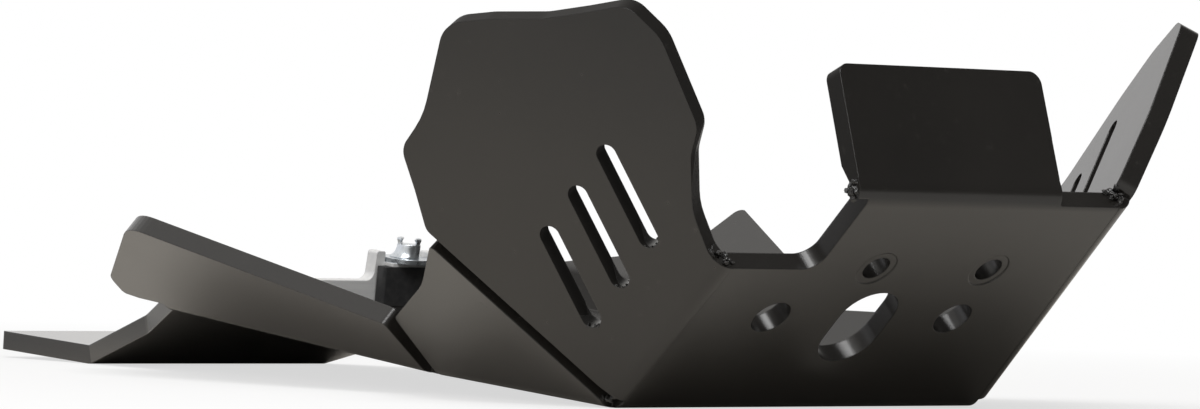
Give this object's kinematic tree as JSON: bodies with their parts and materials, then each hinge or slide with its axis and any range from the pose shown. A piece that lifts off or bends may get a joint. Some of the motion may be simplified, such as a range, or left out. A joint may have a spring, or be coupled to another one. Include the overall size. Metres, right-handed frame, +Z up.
{
  "type": "motorcycle skid plate",
  "caption": "Folded thick plastic skid plate for an off-road motorcycle, with upright side wings, low side walls, a linkage guard tongue, and a bolted frame clamp inside.",
  "frame": {"origin": "on the ground that the plate stands on, halfway between its front and rear ends and between its two sides", "axes": "+X towards the front wheel, +Y to the rider's left, +Z up"},
  "size_m": [0.552, 0.321, 0.1532],
  "materials": {
    "sheet_plastic": "satin black, lightly scuffed",
    "block_rubber": "matt",
    "bracket_alloy": "satin",
    "zinc_steel": "zinc plated"
  },
  "bodies": {
    "root": {"skid_plate": "sheet_plastic", "rubber_block": "block_rubber", "clamp_bracket": "bracket_alloy", "flat_washer": "zinc_steel", "slotted_nut": "zinc_steel", "clamp_bolt": "zinc_steel"}
  },
  "joints": []
}
